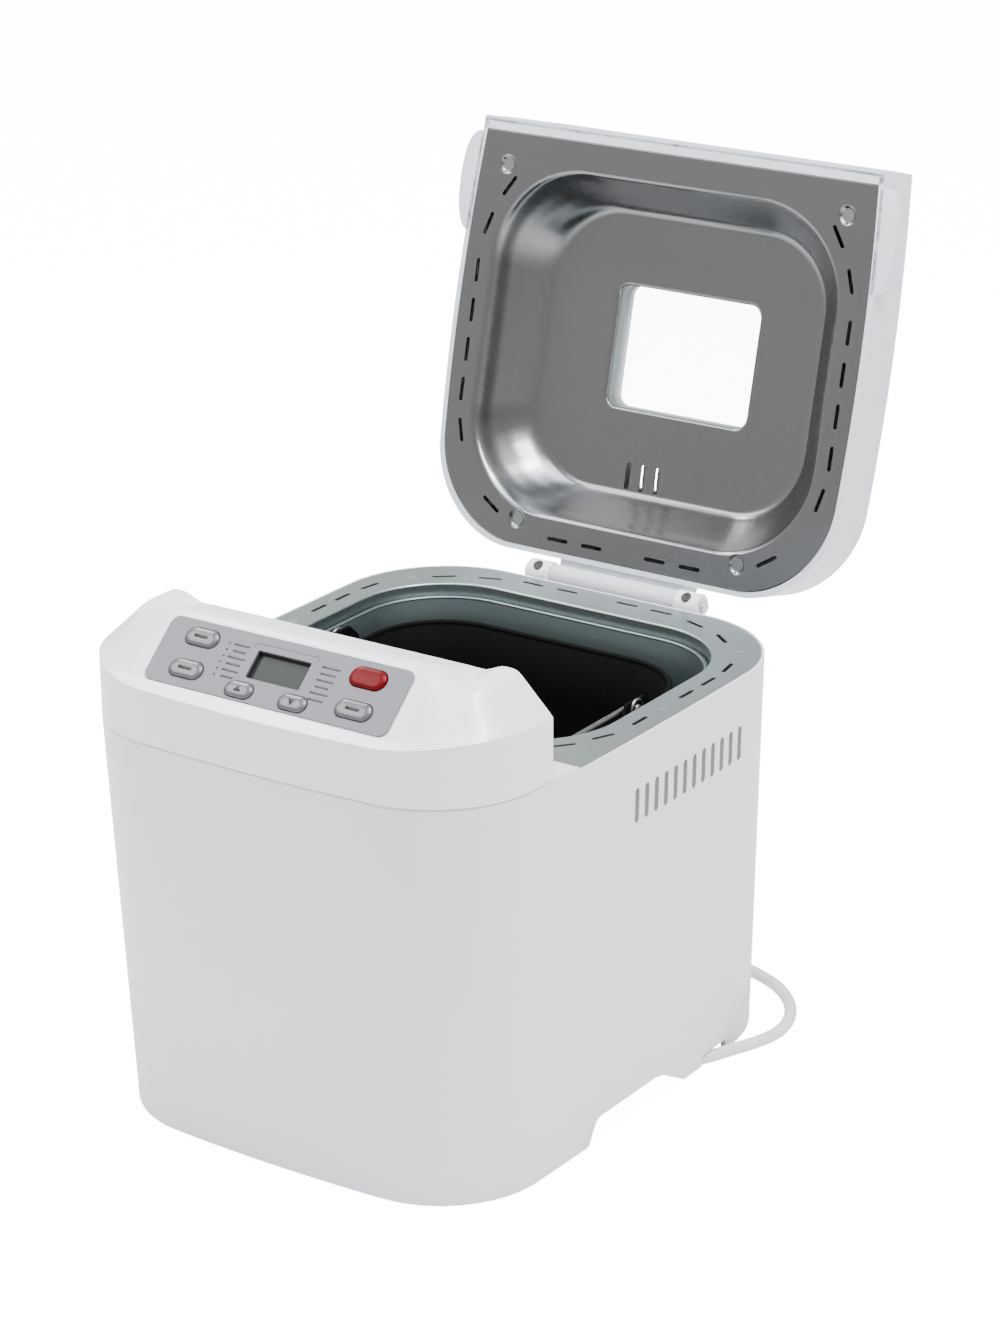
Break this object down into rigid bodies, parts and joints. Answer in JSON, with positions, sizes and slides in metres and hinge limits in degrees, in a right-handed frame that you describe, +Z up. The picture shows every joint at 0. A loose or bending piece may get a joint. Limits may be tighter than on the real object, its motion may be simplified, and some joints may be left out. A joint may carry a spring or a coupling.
{
  "type": "bread machine",
  "caption": "Household bread machine with a sloping key console, a hinged windowed lid, a lift-out bread pan with a bail and a belt-driven kneading paddle.",
  "frame": {"origin": "on the table under the middle of the object's box at rest, lid open, without the cord", "axes": "+Z up, -Y towards the front with the key console, +X to the user's right"},
  "size_m": [0.2446, 0.3853, 0.3979],
  "materials": {
    "housing_plastic": "pale warm-grey moulded polypropylene with a fine satin texture",
    "console_plastic": "white moulded ABS, satin",
    "panel_film": "silver-grey screen-printed polycarbonate film",
    "display_glass": "grey-green liquid crystal display under a clear window",
    "key_plastic": "silver-grey moulded key caps",
    "start_key_plastic": "red moulded key cap",
    "liner_metal": "pressed aluminium sheet, satin rolled finish",
    "deck_metal": "pressed aluminium sheet, satin rolled finish",
    "tub_metal": "aluminised steel sheet, dulled by heat",
    "nonstick_coating": "dark non-stick coating on pressed aluminium",
    "heater_sheath": "heat-tinted stainless heater sheath",
    "bright_steel": "bright plated steel",
    "motor_steel": "laminated and zinc-plated steel",
    "winding_copper": "enamelled copper winding",
    "bronze": "sintered bronze",
    "die_casting": "as-cast aluminium alloy",
    "pulley_nylon": "natural moulded nylon",
    "belt_rubber": "black toothed rubber belt",
    "foot_rubber": "dark grey rubber",
    "base_plastic": "grey moulded polypropylene",
    "circuit_board": "green glass-epoxy circuit board with parts",
    "capacitor_can": "white capacitor case",
    "lid_plastic": "white moulded polypropylene, satin",
    "hinge_plastic": "white moulded polypropylene, satin",
    "window_glass": "clear heat-resistant glass",
    "cord_pvc": "pale grey PVC sheath",
    "sleeve_pvc": "grey flexible PVC"
  },
  "bodies": {
    "base": {"housing": "housing_plastic", "base_plate": "base_plastic", "rubber_feet": "foot_rubber", "deck_plate": "deck_metal", "deck_screws": "bright_steel", "oven_tub": "tub_metal", "heating_element": "heater_sheath", "heater_clips": "bright_steel", "temperature_probe": "bright_steel", "pan_socket": "bright_steel", "bearing_housing": "die_casting", "shaft_bush": "bronze", "drive_belt": "belt_rubber", "motor": "motor_steel", "motor_coils": "winding_copper", "motor_plate": "motor_steel", "run_capacitor": "capacitor_can", "power_board": "circuit_board", "panel_board": "circuit_board", "console_cover": "console_plastic", "control_panel": "panel_film", "lcd_module": "display_glass", "hinge_bracket": "hinge_plastic", "hinge_pin": "bright_steel", "strain_relief": "sleeve_pvc", "power_cord": "cord_pvc", "cord_coil": "cord_pvc", "power_plug": "cord_pvc"},
    "drive": {"drive_shaft": "bright_steel", "drive_coupling": "die_casting", "drive_pulley": "pulley_nylon"},
    "motor_rotor": {"motor_pulley": "pulley_nylon"},
    "menu_key": {"key_menu": "key_plastic"},
    "loaf_key": {"key_loaf": "key_plastic"},
    "up_key": {"key_up": "key_plastic"},
    "down_key": {"key_down": "key_plastic"},
    "start_key": {"key_start": "start_key_plastic"},
    "crust_key": {"key_crust": "key_plastic"},
    "lid": {"lid_shell": "lid_plastic", "lid_liner": "liner_metal", "lid_screws": "bright_steel", "lid_knuckle": "hinge_plastic", "window_glass": "window_glass", "window_frame": "lid_plastic", "window_cover": "window_glass"},
    "pan": {"bread_pan": "nonstick_coating", "pan_rim_wire": "nonstick_coating", "pan_ears": "bright_steel", "pan_base_ring": "die_casting", "pan_bush": "die_casting"},
    "bail": {"pan_bail": "bright_steel"},
    "kneader": {"kneader_shaft": "bright_steel"},
    "paddle": {"kneading_paddle": "nonstick_coating"}
  },
  "joints": [
    {"name": "lid_hinge", "type": "hinge", "parent": "base", "child": "lid", "pos_m": [0, 0.0934, 0.1901], "axis": [-1, 0, 0], "range_deg": [-104.2, 0]},
    {"name": "pan_lift", "type": "slide", "parent": "base", "child": "pan", "axis": [0, 0, 1], "range_m": [0, 0.15]},
    {"name": "bail_swing", "type": "hinge", "parent": "pan", "child": "bail", "pos_m": [0, -0.01865, 0.1825], "axis": [-1, 0, 0], "range_deg": [0, 180]},
    {"name": "drive_spin", "type": "hinge", "parent": "base", "child": "drive", "pos_m": [0, -0.01865, 0.024], "axis": [0, 0, 1], "continuous": true},
    {"name": "motor_spin", "type": "hinge", "parent": "base", "child": "motor_rotor", "pos_m": [0, -0.1454, 0.024], "axis": [0, 0, 1], "continuous": true},
    {"name": "kneader_spin", "type": "hinge", "parent": "pan", "child": "kneader", "pos_m": [0, -0.01865, 0.06], "axis": [0, 0, 1], "continuous": true},
    {"name": "paddle_lift", "type": "slide", "parent": "kneader", "child": "paddle", "axis": [0, 0, 1], "range_m": [0, 0.03]},
    {"name": "menu_press", "type": "slide", "parent": "base", "child": "menu_key", "axis": [0, 0.6626, -0.749], "range_m": [0, 0.0008], "stiffness_N_per_m": 300},
    {"name": "loaf_press", "type": "slide", "parent": "base", "child": "loaf_key", "axis": [0, 0.6626, -0.749], "range_m": [0, 0.0008], "stiffness_N_per_m": 300},
    {"name": "up_press", "type": "slide", "parent": "base", "child": "up_key", "axis": [0, 0.6626, -0.749], "range_m": [0, 0.0008], "stiffness_N_per_m": 300},
    {"name": "down_press", "type": "slide", "parent": "base", "child": "down_key", "axis": [0, 0.6626, -0.749], "range_m": [0, 0.0008], "stiffness_N_per_m": 300},
    {"name": "start_press", "type": "slide", "parent": "base", "child": "start_key", "axis": [0, 0.6626, -0.749], "range_m": [0, 0.0008], "stiffness_N_per_m": 300},
    {"name": "crust_press", "type": "slide", "parent": "base", "child": "crust_key", "axis": [0, 0.6626, -0.749], "range_m": [0, 0.0008], "stiffness_N_per_m": 300}
  ],
  "couplings": [
    {"joint": "motor_spin", "follows": "drive_spin", "ratio": 6},
    {"joint": "kneader_spin", "follows": "drive_spin", "ratio": 1}
  ]
}
